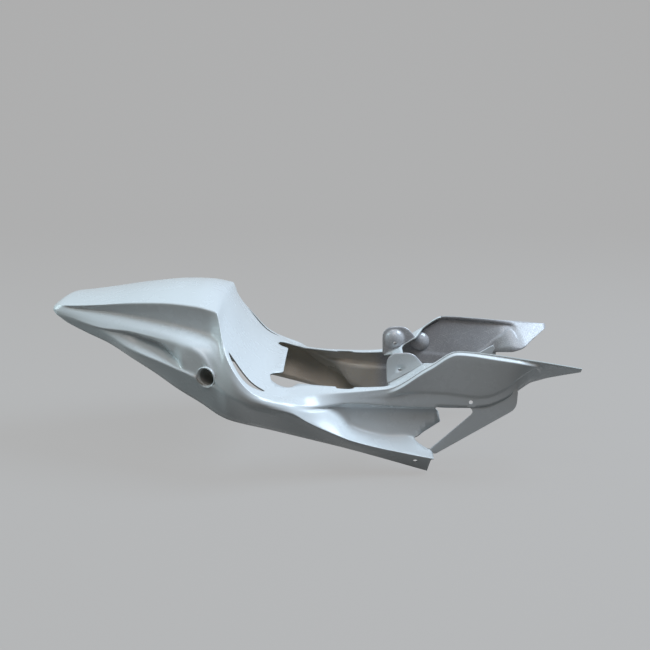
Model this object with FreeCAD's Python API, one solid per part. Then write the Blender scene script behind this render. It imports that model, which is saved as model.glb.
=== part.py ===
"""Seat cowl of a racing motorbike: one thin moulded fibreglass shell, open underneath.

Millimetres, X towards the front of the bike, Y to its left, Z up. The origin is midway
between the two ear bolt holes, on their common axis.
"""
import math
import os

import FreeCAD
import Part
from FreeCAD import Vector

# Overall sizes. The lines below are drawn for these values and scale with them.
overall_length = 923.0
overall_width = 367.0
overall_height = 309.0
wall = 2.6

# Raised side panel of each wing
panel_rise = 6.0

# Seat opening in the floor, seen from above
opening_rear_x = -207.0
opening_front_x = -25.0
opening_rear_half = 107.0
opening_front_half = 99.0
corner_hole_r = 22.0
notch_x = -97.0
notch_length = 30.0
notch_depth = 8.0

# Round side holes of the tail
side_hole_r = 14.5
side_collar_r = 17.5
side_collar_depth = 24.0
side_collar_lip = 4.8
side_hole_x = -329.0
side_hole_z = 9.0
side_hole_turn = 24.5

# Bolt holes
ear_bolt_r = 3.3
arm_bolt_r = 3.3
arm_bolt_x = 27.0
arm_bolt_z = -150.0
arm_bolt_tilt = 29.0
wing_bolt_r = 3.3
wing_bolt_x = 123.0
wing_bolt_z = -49.0

# Ears
ear_y = 82.0
ear_thick = 3.2
dome_r = 19.0
dome_rise = 8.0

# Widest part of the slot between seat and rim
slot_width = 8.0

# Plate of each strut
strut_thick = 3.6

kx = overall_length / 923.0
ky = overall_width / 367.0
kz = overall_height / 309.0

# Places along X where every line of the skin is fixed. The body ends at FRONT, the wings run on.
STATIONS = [-620, -609, -584, -550, -513, -476, -445, -413, -387, -359, -339, -325, -316, -310,
            -303, -295, -283, -269, -255, -239, -221, -191, -157, -129, -107, -84, -50, -27, 0,
            30, 60, 84, 97, 112, 150, 181, 200, 215, 230, 250, 272, 303]
PANEL_START = STATIONS.index(-84)
FRONT = STATIONS.index(84)
LAST = len(STATIONS) - 1
SEAMS = [STATIONS.index(x) for x in (-476, -359, -316, -269, -221, -129, -27, 181)]

# Lines of one side as x, y, z. The edge line follows the deck edge, the rim of the seat,
# the floor edge and the top of the wing.
CENTRE = [(-620, 0, 108), (-609, 0, 113.5), (-584, 0, 111.5), (-513, 0, 121), (-445, 0, 131),
          (-400, 0, 134), (-359, 0, 133.5), (-339, 0, 130), (-325, 0, 124), (-316, 0, 116.5),
          (-303, 0, 92), (-283, 0, 52), (-269, 0, 30), (-255, 0, 13), (-239, 0, -2), (-221, 0, -12),
          (-191, 0, -20), (-129, 0, -25), (-27, 0, -29), (0, 0, -14), (84, 0, 34)]
EDGE = [(-620, 52, 106), (-609, 58, 111), (-584, 63, 107.5), (-532, 75, 112), (-467, 88, 119),
        (-405, 100, 122), (-354, 109, 119), (-325, 113, 113), (-316, 115, 110), (-310, 126, 86),
        (-303, 143, 66), (-295, 157, 50), (-283, 170, 31), (-269, 178, 11), (-255, 182, -4),
        (-239, 180, -13), (-221, 169, -20), (-191, 147, -28), (-140, 130, -30), (-97, 123, -29.5),
        (-27, 115, -26), (50, 115, 17), (97, 115.5, 43.5), (168, 121, 38), (230, 129, 30),
        (303, 141, 21)]
VALLEY = [(-620, 53, 102), (-609, 58.5, 106), (-584, 61, 103), (-513, 71, 98), (-450, 82, 89),
          (-387, 94, 80), (-346, 102, 71), (-333, 106, 68), (-316, 129, 65), (-303, 150, 44),
          (-295, 161, 31), (-283, 171.5, 16), (-269, 179, 2), (-255, 182.5, -10),
          (-239, 181.5, -17.5), (-221, 176.5, -21.5), (-191, 172, -30), (-157, 155, -44),
          (-129, 140, -49.5), (-97, 127, -50.5), (-27, 117, -57), (30, 115, -59.5), (118, 115, -60),
          (150, 116, -56), (181, 116, -43), (200, 113, -31), (215, 103, -24), (235, 90, -14),
          (272, 115, 2), (303, 140, 13)]
RECESS = [(-620, 53.5, 99.5), (-609, 59.5, 102), (-584, 65, 98.5), (-513, 82, 93), (-445, 97.5, 85),
          (-387, 111, 76), (-346, 121, 68), (-325, 130, 64), (-316, 140, 57), (-303, 158, 31),
          (-295, 166, 19), (-283, 174, 6), (-269, 180.5, -7), (-255, 183.3, -16.5),
          (-239, 183, -22.5), (-221, 180.5, -25.5), (-191, 175.5, -34), (-157, 157, -49),
          (-129, 133, -54.5), (-107, 119, -56), (-84, 111, -58), (-50, 107, -61), (84, 105, -64)]
SHELF = [(-620, 54, 97), (-609, 60.5, 98), (-584, 68, 93), (-513, 90.5, 84.5), (-445, 108.5, 78),
         (-387, 125.5, 69.5), (-346, 137, 62), (-316, 154, 40), (-310, 160, 28), (-303, 166, 14),
         (-295, 170.5, 3.5), (-283, 176, -6.5), (-269, 181.5, -15.5), (-255, 183.5, -22.5),
         (-239, 183.7, -27.5), (-221, 182.5, -31), (-191, 178.5, -39.5), (-157, 162, -52),
         (-129, 140, -58.5), (-107, 122, -70), (-84, 110, -98), (-50, 108, -111), (-16, 108, -117),
         (11, 108, -115), (32, 109, -120), (48, 111, -132), (60, 113, -142), (84, 116, -150)]
CREASE = [(-620, 54, 95), (-609, 61, 94), (-584, 69.5, 88), (-519, 95, 75.5), (-476, 108, 73),
          (-413, 128, 64), (-387, 137, 60), (-359, 146, 57.5), (-339, 152, 50), (-331, 158, 32),
          (-316, 166.5, 7), (-295, 174, -12.5), (-269, 181, -24), (-252, 183, -29.5),
          (-221, 182.8, -36.5), (-185, 179.5, -47), (-161, 174, -64), (-129, 168, -83),
          (-84, 161, -104), (-39, 155, -119), (-6, 151, -128), (49, 147, -141), (84, 145, -147)]
POCKET = [(-620, 53.7, 93.7), (-609, 60.7, 91), (-584, 69, 85), (-513, 94.5, 71), (-476, 101, 64),
          (-445, 106, 54), (-413, 114, 40), (-387, 127, 26), (-359, 142, 16), (-331, 155.5, 8),
          (-316, 165.5, 0), (-295, 174, -16.5), (-252, 181.8, -34), (-221, 181, -41),
          (-185, 177, -52), (-129, 164, -88), (-84, 157, -109.5), (-6, 147.5, -133), (84, 141.5, -154)]
BAND = [(-620, 53, 92.3), (-609, 59.5, 88), (-584, 68, 81.5), (-550, 80, 75), (-513, 96, 64),
        (-476, 113, 46), (-445, 124.5, 37), (-402, 139, 25), (-372, 149, 15), (-347, 157.5, 5),
        (-316, 166.5, -7), (-295, 172, -21), (-252, 178, -40.5), (-221, 176, -49), (-185, 171, -60),
        (-129, 157.5, -95.5), (-84, 151.5, -116), (-6, 142.5, -141), (84, 137.5, -162)]
BOTTOM = [(-620, 52, 91), (-601, 57, 80), (-557, 71, 61), (-513, 85, 45), (-470, 99, 22),
          (-428, 111, -1), (-387, 123, -26), (-346, 133, -48), (-313, 139, -69), (-295, 140, -77),
          (-225, 138, -95), (-159, 137, -112), (-91, 136, -130), (-24, 134, -150), (46, 131, -172),
          (84, 129, -183)]

# Lines of the raised panel: x, share of the way from edge to valley, share of the rise
PANEL = [
    [(-620, 0.2, 0), (-84, 0.2, 0), (-27, 0.12, 0), (30, 0.045, 0), (97, 0.035, 0), (215, 0.1, 0),
     (250, 0.2, 0), (303, 0.2, 0)],
    [(-620, 0.4, 0), (-84, 0.4, 0), (-27, 0.28, 0.1), (0, 0.15, 1), (30, 0.105, 1), (97, 0.08, 1),
     (200, 0.16, 1), (215, 0.2, 1), (230, 0.3, 0.2), (250, 0.4, 0), (303, 0.4, 0)],
    [(-620, 0.6, 0), (-84, 0.6, 0), (-27, 0.42, 0.1), (0, 0.4, 1), (30, 0.53, 1), (97, 0.73, 1),
     (150, 0.78, 1), (181, 0.72, 1), (200, 0.54, 1), (215, 0.38, 0.8), (230, 0.42, 0.2), (250, 0.6, 0),
     (303, 0.6, 0)],
    [(-620, 0.8, 0), (-84, 0.8, 0), (-27, 0.56, 0), (0, 0.5, 0), (30, 0.61, 0), (97, 0.79, 0),
     (150, 0.84, 0), (181, 0.79, 0), (200, 0.63, 0), (215, 0.5, 0), (230, 0.55, 0), (250, 0.8, 0),
     (303, 0.8, 0)],
]

# Outlines seen from the side, as x, z and corner radius
STRUT = [(112, -57, 0), (150, -44, 0), (199, -14, 4), (204, -30, 10), (203, -61, 22), (65, -148, 3),
         (50, -144, 3), (131, -67, 7), (119, -58, 0)]
EAR = [(-23, -27, 0), (-24, 29, 20), (22, 31, 26), (40, 10.5, 0), (40, 8.8, 0), (0, -14.2, 0)]
FRONT_CUT = [(62, -68, 0), (80, -81, 5), (34, -114, 6), (60, -142, 3), (54, -146, 0), (46, -190, 0),
             (120, -190, 0), (120, -68, 0)]
SLIT = [(-472, 72, 1), (-414, 60, 60), (-373, 17, 4), (-400, 30, 60), (-447, 56, 0)]

# Slot between seat and rim: its two ends, its middle, and the way it is cut
SLOT = [(-294, 149, 49), (-268, 168, 11), (-238, 169.5, -13.5)]
SLOT_WAY = (0.75, 0, 0.66)


def slopes(u, v):
    """Slopes for a smooth curve through values v at u that never overshoots them."""
    steps = [(v[i + 1] - v[i]) / (u[i + 1] - u[i]) for i in range(len(u) - 1)]
    out = [steps[0]]
    for a, b in zip(steps, steps[1:]):
        out.append(2 * a * b / (a + b) if a * b > 0 else 0.0)
    out.append(steps[-1])
    return out


def value(points, column, x):
    """Value of one column of a list of points at x, on its smooth curve."""
    u = [p[0] for p in points]
    v = [p[column] for p in points]
    m = slopes(u, v)
    i = max(k for k in range(len(u) - 1) if u[k] <= x)
    h = u[i + 1] - u[i]
    t = (x - u[i]) / h
    rise = v[i] * (1 + 2 * t) * (1 - t) ** 2 + v[i + 1] * t * t * (3 - 2 * t)
    return rise + h * (m[i] * t * (1 - t) ** 2 - m[i + 1] * t * t * (1 - t))


def line(points):
    """Points of one line of the skin at the stations it reaches."""
    xs = [x for x in STATIONS if x <= points[-1][0]]
    return [Vector(x * kx, value(points, 1, x) * ky, value(points, 2, x) * kz) for x in xs]


def unit(v):
    return v * (1.0 / v.Length)


def panel_line(points, edge, valley):
    """A line of the raised panel between the edge and the valley."""
    out = []
    for x, e, v in zip(STATIONS, edge, valley):
        share = value(points, 1, x)
        rise = value(points, 2, x) * panel_rise
        down = unit(v - e)
        out.append(e + (v - e) * share + Vector(0, -down.z, down.y) * rise)
    return out


def offset(lines, middle):
    """The same lines one wall further in, moved along the mitred normals of the skin."""
    out = []
    for j, row in enumerate(lines):
        moved = []
        for i, p in enumerate(row):
            along = unit(row[min(i + 1, len(row) - 1)] - row[max(i - 1, 0)])
            normals = []
            if j > 0 and i < len(lines[j - 1]):
                normals.append(unit(along.cross(lines[j - 1][i] - p)))
            if j == 0 and i <= FRONT:
                normals.append(unit(along.cross(middle[i] - p)))
            if j + 1 < len(lines) and i < len(lines[j + 1]):
                normals.append(unit(along.cross(p - lines[j + 1][i])))
            if len(normals) == 2:
                total = (normals[0] + normals[1]) * (1.0 / max(0.2, 1 + normals[0].dot(normals[1])))
            else:
                total = normals[0]
            q = p + total * wall
            if i == 0:
                q.x = p.x + wall
            if i == len(row) - 1:
                q.x = p.x
            moved.append(q)
        out.append(moved)
    return out


def poles(row, start, end):
    """Poles of the smooth curve through the points of a line from one station to another."""
    u = [x * 1.0 for x in STATIONS[:len(row)]]
    m = list(zip(*[slopes(u, [p[k] for p in row]) for k in range(3)]))
    out = [row[start]]
    for i in range(start, end):
        third = (u[i + 1] - u[i]) / 3
        out.append(row[i] + Vector(*m[i]) * third)
        out.append(row[i + 1] - Vector(*m[i + 1]) * third)
    out.append(row[end])
    return out


def sheets(rows, start, end):
    """Surfaces between two lines, or over four lines as one cubic arch, split at the seams."""
    ends = [start] + [j for j in SEAMS if start < j < end] + [end]
    return [sheet(rows, a, b) for a, b in zip(ends, ends[1:])]


def sheet(rows, start, end):
    grid = [list(p) for p in zip(*[poles(r, start, end) for r in rows])]
    knots = [x * 1.0 for x in STATIONS[start:end + 1]]
    mults = [4] + [2] * (len(knots) - 2) + [4]
    degree = len(rows) - 1
    surface = Part.BSplineSurface()
    surface.buildFromPolesMultsKnots(grid, mults, [degree + 1, degree + 1], knots, [0.0, 1.0],
                                     False, False, 3, degree)
    return surface.toShape()


def arch(edge, middle):
    """The four lines of the arch over both edges that passes through the middle line."""
    inner = [Vector((e.x + 3 * c.x) / 4 + (c.x - e.x) / 12, e.y / 3, (4 * c.z - e.z) / 3)
             for e, c in zip(edge, middle)]
    return [edge, inner, mirror(inner), mirror(edge)]


def mirror(row):
    return [Vector(p.x, -p.y, p.z) for p in row]


def arch_edge(points):
    curve = Part.BezierCurve()
    curve.setPoles(points)
    return curve.toShape()


def quad(a, b, c, d):
    return Part.makeRuledSurface(Part.makeLine(a, b), Part.makeLine(d, c))


def wing_lines(skin):
    """Edge, panel lines and valley of one skin."""
    return [skin[0]] + [panel_line(p, skin[0], skin[1]) for p in PANEL] + [skin[1]]


def end_faces(outer, inner, i):
    """Faces that close the wall between two skins at one station."""
    rows = list(zip(outer, inner))
    return [quad(a[i], b[i], d[i], c[i]) for (a, c), (b, d) in zip(rows, rows[1:])]


def shell_solid():
    """The whole skin with its wall, sewn from sheets between the lines."""
    outer = [line(p) for p in (EDGE, VALLEY, RECESS, SHELF, CREASE, POCKET, BAND, BOTTOM)]
    middle = line(CENTRE)
    inner = offset(outer, middle)
    outer_wing, inner_wing = wing_lines(outer), wing_lines(inner)
    middle_in = []
    for i, c in enumerate(middle):
        along = middle[min(i + 1, FRONT)] - middle[max(i - 1, 0)]
        down = unit(Vector(along.z, 0, -along.x))
        q = c + down * wall
        middle_in.append(Vector(c.x + wall, 0, q.z) if i == 0 else q)
    faces = []
    tops = [arch(outer[0], middle), arch(inner[0], middle_in)]
    for top in tops:
        faces.extend(sheets(top, 0, FRONT))
    for side in (lambda r: r, mirror):
        o, n = [[side(r) for r in skin] for skin in (outer, inner)]
        wing_o, wing_n = [[side(r) for r in skin] for skin in (outer_wing, inner_wing)]
        for skin, wing in ((o, wing_o), (n, wing_n)):
            faces.extend(sheets(skin[:2], 0, PANEL_START))
            for a, b in zip(wing, wing[1:]):
                faces.extend(sheets([a, b], PANEL_START, FRONT))
                faces.extend(sheets([a, b], FRONT, LAST))
            for a, b in zip(skin[1:], skin[2:]):
                faces.extend(sheets([a, b], 0, FRONT))
        faces.extend(sheets([o[-1], n[-1]], 0, FRONT))
        faces.extend(sheets([o[0], n[0]], FRONT, LAST))
        faces.extend(sheets([o[1], n[1]], FRONT, LAST))
        faces.extend(end_faces(wing_o, wing_n, LAST))
        faces.extend(end_faces(o[1:], n[1:], FRONT))
    faces.append(Part.makeRuledSurface(arch_edge([r[FRONT] for r in tops[0]]),
                                       arch_edge([r[FRONT] for r in tops[1]])))
    for skin, top in zip((outer, inner), tops):
        ring = [r[0] for r in reversed(skin)]
        ring_left = [Vector(p.x, -p.y, p.z) for p in reversed(ring)]
        edges = [Part.makeLine(a, b) for a, b in zip(ring, ring[1:])]
        edges.append(arch_edge([r[0] for r in top]))
        edges += [Part.makeLine(a, b) for a, b in zip(ring_left, ring_left[1:])]
        edges.append(Part.makeLine(ring_left[-1], ring[0]))
        faces.append(Part.Face(Part.Wire(edges)))
    a, b = outer[-1][0], inner[-1][0]
    faces.append(quad(a, Vector(a.x, -a.y, a.z), Vector(b.x, -b.y, b.z), b))
    shell = Part.makeShell(faces)
    shell.sewShape()
    solid = Part.makeSolid(shell)
    if solid.Volume < 0:
        solid.reverse()
    return solid


def outline(points, place):
    """Closed wire through corners given as two coordinates and a radius, set by place."""
    corners = [Vector(u, v, 0) for u, v, _ in points]
    edges = []
    starts = []
    ends = []
    arcs = []
    for i, (_, _, r) in enumerate(points):
        c = corners[i]
        back = unit(corners[i - 1] - c)
        on = unit(corners[(i + 1) % len(corners)] - c)
        half = back.getAngle(on) / 2
        a = c + back * (r / math.tan(half))
        b = c + on * (r / math.tan(half))
        mid = c + unit(back + on) * (r / math.sin(half) - r)
        starts.append(place(a))
        ends.append(place(b))
        arcs.append(place(mid) if r else None)
    for i, arc in enumerate(arcs):
        if arc:
            edges.append(Part.Arc(starts[i], arc, ends[i]).toShape())
        edges.append(Part.makeLine(ends[i], starts[(i + 1) % len(arcs)]))
    return Part.Face(Part.Wire(edges))


def prism_y(points, y0, y1):
    """Outline in X and Z, run along Y."""
    face = outline(points, lambda p: Vector(p.x * kx, y0, p.y * kz))
    return face.extrude(Vector(0, y1 - y0, 0))


def prism_z(points, z0, z1):
    """Outline in X and Y, run along Z."""
    face = outline(points, lambda p: Vector(p.x, p.y, z0))
    return face.extrude(Vector(0, 0, z1 - z0))


def bore_y(x, z, r, y0, y1):
    return Part.makeCylinder(r, y1 - y0, Vector(x * kx, y0, z * kz), Vector(0, 1, 0))


def seat_opening():
    """Half of the floor opening with its round corner hole and its side notch."""
    xr, xf = opening_rear_x * kx, opening_front_x * kx
    yr, yf = opening_rear_half * ky, opening_front_half * ky
    xn = notch_x * kx
    y = yr + (xn - xr) * (yf - yr) / (xf - xr) + notch_depth
    low, high = -60 * kz, 40 * kz
    plate = prism_z([(xr, -1, 0), (xr, yr, 0), (xf, yf, 12), (xf, -1, 0)], low, high)
    half = notch_length / 2
    notch = prism_z([(xn - half, y - 40, 0), (xn - half, y, 4), (xn + half, y, 4), (xn + half, y - 40, 0)],
                    low, high)
    hole = Part.makeCylinder(corner_hole_r, high - low, Vector(xr + 2, yr - 4, low))
    return plate.fuse([notch, hole])


def rim_slot():
    """Lens between two arcs, cut square to the seat face near its rim."""
    a, m, b = [Vector(x * kx, y * ky, z * kz) for x, y, z in SLOT]
    way = unit(Vector(*SLOT_WAY))
    side = unit(way.cross(b - a))
    m = m - way * way.dot(m - a)
    b = b - way * way.dot(b - a)
    arcs = [Part.Arc(a, m + side * s, b).toShape() for s in (slot_width / 2, -slot_width / 2)]
    lens = Part.Face(Part.Wire(arcs))
    lens.translate(way * -16)
    return lens.extrude(way * 34)


def half_cuts():
    """Openings of the left half."""
    ramp = [(13, -1, 0), (13, 79, 6), (42, 79, 0), (100, 107, 0), (100, -1, 0)]
    ramp = [(x * kx, y * ky, r) for x, y, r in ramp]
    return [seat_opening(), prism_y(FRONT_CUT, 62 * ky, 200 * ky), prism_y(SLIT, 88 * ky, 140 * ky),
            prism_z(ramp, -50 * kz, 70 * kz), rim_slot()]


def half_bores():
    """Round holes of the left half, cut through everything added there."""
    tilt = math.radians(arm_bolt_tilt)
    axis = Vector(0, math.cos(tilt), -math.sin(tilt))
    start = Vector(arm_bolt_x * kx, 140.4 * ky, arm_bolt_z * kz) - axis * 15
    return [side_tube(side_hole_r, -60, 40), bore_y(0, 0, ear_bolt_r, 40 * ky, 150 * ky),
            Part.makeCylinder(arm_bolt_r, 30, start, axis),
            bore_y(wing_bolt_x, wing_bolt_z, wing_bolt_r, 90 * ky, 160 * ky)]


def side_tube(r, y0, y1):
    """Round bar square to the side face at the side hole, from y0 to y1 along its axis."""
    turn = math.radians(side_hole_turn)
    axis = Vector(-math.sin(turn), math.cos(turn), 0)
    base = Vector(side_hole_x * kx, 156 * ky, side_hole_z * kz) + axis * y0
    return Part.makeCylinder(r, y1 - y0, base, axis)


def dome(x, y, z):
    """Spherical boss on an inner face that looks towards the middle."""
    r = (dome_r ** 2 + dome_rise ** 2) / (2 * dome_rise)
    ball = Part.makeSphere(r, Vector(x * kx, y - dome_rise + r, z * kz))
    box = Part.makeBox(4 * r, dome_rise + 1.5, 4 * r,
                       Vector(x * kx - 2 * r, y - dome_rise, z * kz - 2 * r))
    return ball.common(box)


def half_extras():
    """Ear, bosses, strut and hole collar of the left half."""
    y = ear_y * ky
    wing_in = 113.0 * ky
    return [prism_y(EAR, y, y + ear_thick), dome(6, y, 6), dome(52, wing_in, -8),
            prism_y(STRUT, wing_in + 1.2, wing_in + 1.2 + strut_thick),
            side_tube(side_collar_r, -side_collar_depth, side_collar_lip)]


def both(shapes):
    """Shapes of the left half with their mirror images."""
    return shapes + [s.mirror(Vector(0, 0, 0), Vector(0, 1, 0)) for s in shapes]


body = shell_solid().cut(both(half_cuts()))
body = body.fuse(both(half_extras()))
body = body.cut(both(half_bores()))
os.makedirs("parts", exist_ok=True)
body.exportStep("parts/seat_cowl.step")
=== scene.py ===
"""Seat cowl of a racing motorbike in bare white gelcoat, set out as in the photograph.

The skin is worked out on one grid: rows run across the bike at places along X, columns run from
the middle of the deck over the edge and down the side. Shapes are in millimetres, in the frame's
own axes: X to the front, Y to the left, Z up. Meshes and the studio are in metres.
"""
import math

import bpy
import numpy as np
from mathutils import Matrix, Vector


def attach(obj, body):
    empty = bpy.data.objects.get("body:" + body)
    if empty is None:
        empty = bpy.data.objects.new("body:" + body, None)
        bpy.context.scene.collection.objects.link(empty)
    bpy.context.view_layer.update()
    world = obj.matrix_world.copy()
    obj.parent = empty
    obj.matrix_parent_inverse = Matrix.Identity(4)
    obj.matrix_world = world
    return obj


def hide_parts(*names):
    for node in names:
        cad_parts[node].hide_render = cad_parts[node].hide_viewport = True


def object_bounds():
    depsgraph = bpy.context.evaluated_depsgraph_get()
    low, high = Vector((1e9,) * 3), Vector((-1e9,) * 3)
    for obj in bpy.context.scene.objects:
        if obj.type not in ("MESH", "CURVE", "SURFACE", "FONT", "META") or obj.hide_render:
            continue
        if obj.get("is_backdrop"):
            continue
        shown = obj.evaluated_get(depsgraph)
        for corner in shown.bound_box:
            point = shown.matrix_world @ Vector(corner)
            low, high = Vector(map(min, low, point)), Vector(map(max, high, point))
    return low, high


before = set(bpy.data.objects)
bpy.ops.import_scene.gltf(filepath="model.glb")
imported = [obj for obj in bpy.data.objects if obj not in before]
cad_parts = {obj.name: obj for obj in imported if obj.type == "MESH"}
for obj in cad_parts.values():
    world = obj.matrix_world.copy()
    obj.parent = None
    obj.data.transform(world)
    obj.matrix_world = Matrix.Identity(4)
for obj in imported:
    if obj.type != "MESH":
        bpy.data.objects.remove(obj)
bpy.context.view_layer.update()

MM = 0.001
WALL = 2.6

# Place ahead of which only the wing goes on
BODY_FRONT = 90.0

# Rows of the grid: where a stretch begins, and the step in it
ROWS = [(-618.5, 3.0), (-604.0, 5.6), (-470.0, 3.4), (-352.0, 3.0), (-214.0, 5.0), (-32.0, 4.0),
        (128.0, 5.0), (303.0, 0.0)]

# Rows that close the tail: share of the way out from the middle of its foot, and place along X
TAIL_CAP = [(0.0, -620.0), (0.4, -620.0), (0.75, -620.0), (0.93, -619.7)]

# Lines of one side as x, y, z. The edge follows the deck edge, the rim of the seat, the floor
# edge and the top of the wing. The valley is the bottom of the wedge, then the wing's lower edge.
CENTRE = [(-620, 0, 103), (-609, 0, 109), (-584, 0, 112), (-513, 0, 121), (-445, 0, 131),
          (-400, 0, 134), (-359, 0, 133.5), (-339, 0, 130), (-325, 0, 124), (-316, 0, 116.5),
          (-303, 0, 92), (-283, 0, 52), (-269, 0, 30), (-255, 0, 13), (-239, 0, 0), (-221, 0, -6),
          (-191, 0, -9), (-157, 0, -11), (-129, 0, -16), (-97, 0, -22), (-27, 0, -29), (0, 0, -14),
          (84, 0, 34)]
EDGE = [(-620, 47, 101.5), (-609, 53, 105.6), (-597, 59, 107), (-584, 63, 107.5), (-532, 75, 112),
        (-467, 88, 119), (-405, 100, 122), (-354, 109, 119), (-325, 113, 113), (-316, 115, 110),
        (-310, 126, 86), (-303, 143, 66), (-295, 157, 50), (-283, 170, 31), (-269, 178, 11),
        (-255, 182, -4), (-239, 180, -13), (-221, 169, -20), (-191, 147, -28), (-140, 130, -30),
        (-97, 123, -29.5), (-27, 115, -26), (50, 115, 17), (97, 115.5, 43.5), (168, 121, 38),
        (230, 129, 30), (303, 141, 21)]
VALLEY = [(-620, 49, 99.6), (-609, 56, 103), (-597, 60.5, 103.6), (-584, 61, 102.5), (-513, 71, 98),
          (-450, 82, 89), (-387, 94, 80), (-346, 102, 71), (-330, 107, 68), (-316, 124, 66),
          (-310, 133, 66), (-303, 150, 60), (-295, 164, 45.5), (-283, 177, 27), (-269, 184, 8.5),
          (-255, 187, -5.5), (-239, 186, -15.5), (-221, 180, -21), (-191, 172.5, -30),
          (-157, 155, -44), (-129, 140, -49.5), (-97, 127, -50.5), (-27, 117, -57), (30, 115, -59.5),
          (118, 115, -60), (150, 116, -56), (181, 116, -43), (200, 113, -31), (215, 101, -26),
          (235, 87, -20.5), (250, 88, -15.5), (272, 106, -3), (303, 134, 14)]
RECESS = [(-620, 50.3, 98.4), (-609, 59, 100.2), (-584, 65, 98.5), (-513, 82, 93), (-445, 97.5, 85),
          (-387, 111, 76), (-346, 121, 68), (-325, 130, 64), (-316, 141, 59.2), (-303, 164, 36.8),
          (-295, 174.5, 24.2), (-283, 184, 10.5), (-269, 189, -3.3), (-255, 191, -13.5),
          (-239, 190.5, -19.7), (-221, 186.5, -24.3), (-191, 178, -33.2), (-157, 157, -49),
          (-129, 133, -54.5), (-107, 119, -56), (-84, 111, -58), (-50, 107, -61), (84, 105, -64)]
SHELF = [(-620, 51, 98.1), (-609, 60.5, 97), (-584, 68, 93), (-513, 90.5, 84.5), (-445, 108.5, 78),
         (-387, 125.5, 69.5), (-346, 137, 62), (-316, 157, 41.6), (-310, 165, 31), (-303, 173, 18.2),
         (-295, 179.5, 8), (-283, 186.5, -2.7), (-269, 190.5, -12), (-255, 192, -19.8),
         (-239, 192, -25), (-221, 189.5, -29.2), (-191, 182, -38.6), (-157, 162, -52),
         (-129, 140, -58.5), (-107, 122, -70), (-84, 110, -98), (-50, 108, -111), (-16, 108, -117),
         (11, 108, -115), (32, 109, -120), (48, 111, -132), (60, 113, -142), (84, 116, -150)]
CREASE = [(-620, 51, 97.6), (-609, 61, 93.5), (-584, 69.5, 88), (-519, 95, 75.5), (-476, 106, 73.5),
          (-413, 124.5, 65), (-387, 134.5, 60.8), (-359, 145.5, 57.5), (-345, 150.5, 51),
          (-336, 154.5, 42), (-327, 161.5, 28.5), (-316, 170, 8.7), (-295, 182, -9.5),
          (-269, 189.5, -21.6), (-252, 191, -27.4), (-221, 189.5, -34.6), (-185, 182.5, -46.2),
          (-161, 174, -64), (-129, 168, -83), (-84, 161, -104), (-39, 155, -119), (-6, 151, -128),
          (49, 147, -141), (84, 145, -147)]
POCKET = [(-620, 50.7, 97), (-609, 60.7, 91), (-584, 69, 85), (-513, 94.5, 71), (-476, 99, 66),
          (-445, 97, 58), (-413, 102, 45), (-387, 121, 28), (-373, 147, 19.6), (-359, 152, 15.9),
          (-345, 155.5, 12), (-331, 160, 8), (-316, 168.5, 0.9), (-295, 181, -14.7),
          (-252, 189.3, -32), (-221, 187.3, -39.2), (-185, 180, -51.2), (-129, 164, -88),
          (-84, 157, -109.5), (-6, 147.5, -133), (84, 141.5, -154)]
BAND = [(-620, 50.3, 96.5), (-609, 59.5, 88), (-584, 68, 81.5), (-550, 80, 75), (-513, 96, 64),
        (-476, 114.5, 46.5), (-445, 128, 38), (-402, 143, 26.2), (-372, 152.5, 16), (-347, 160.5, 6),
        (-316, 170, -6.2), (-295, 178.5, -19.2), (-252, 185, -38.5), (-221, 181.5, -47.3),
        (-185, 173.5, -59.2), (-129, 157.5, -95.5), (-84, 151.5, -116), (-6, 142.5, -141),
        (84, 137.5, -162)]
BOTTOM = [(-620, 49.5, 96), (-601, 57, 80), (-557, 71, 61), (-513, 85, 45), (-470, 99, 22),
          (-428, 111, -1), (-387, 123, -26), (-346, 133, -48), (-313, 139, -69), (-295, 140, -77),
          (-225, 138, -95), (-159, 137, -112), (-91, 136, -130), (-24, 134, -150), (46, 131, -172),
          (84, 129, -183)]

# Lines of the raised panel: x, share of the way from edge to valley, share of the rise
PANEL_RISE = 6.0
PANEL_HEAD = [(-620, 0.35, 0), (-84, 0.35, 0), (-27, 0.12, 0), (30, 0.035, 0), (97, 0.02, 0),
              (231, 0.06, 0), (250, 0.2, 0), (303, 0.2, 0)]
PANEL_TOP = [(-620, 0.42, 0), (-84, 0.42, 0), (-27, 0.28, 0.1), (0, 0.14, 1), (30, 0.07, 1),
             (97, 0.044, 1), (200, 0.095, 1), (231, 0.11, 0.9), (239, 0.2, 0.1), (250, 0.4, 0),
             (303, 0.4, 0)]
PANEL_LOW = [(-620, 0.49, 0), (-84, 0.49, 0), (-27, 0.42, 0.1), (0, 0.4, 0.5), (30, 0.53, 0.3),
             (97, 0.73, 0.25), (150, 0.78, 0.25), (181, 0.72, 0.3), (200, 0.56, 0.45),
             (215, 0.42, 0.55), (231, 0.21, 0.7), (239, 0.36, 0.1), (250, 0.6, 0), (303, 0.6, 0)]
PANEL_FOOT = [(-620, 0.56, 0), (-84, 0.56, 0), (-27, 0.56, 0), (0, 0.5, 0), (30, 0.61, 0),
              (97, 0.79, 0), (150, 0.84, 0), (181, 0.79, 0), (200, 0.64, 0), (215, 0.5, 0),
              (231, 0.28, 0), (239, 0.5, 0), (250, 0.8, 0), (303, 0.8, 0)]

# Lip of the duct in the tail's side, given the same way between crease and pocket
LIP = [(-620, 0.6, 0), (-513, 0.6, 0), (-476, 0.5, 0.1), (-445, 0.14, 0.4), (-413, 0.12, 0.62),
       (-397, 0.32, 1.2), (-386, 0.5, 1.1), (-375, 0.6, 0.4), (-361, 0.6, 0), (-325, 0.84, 0),
       (84, 0.84, 0)]

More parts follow.
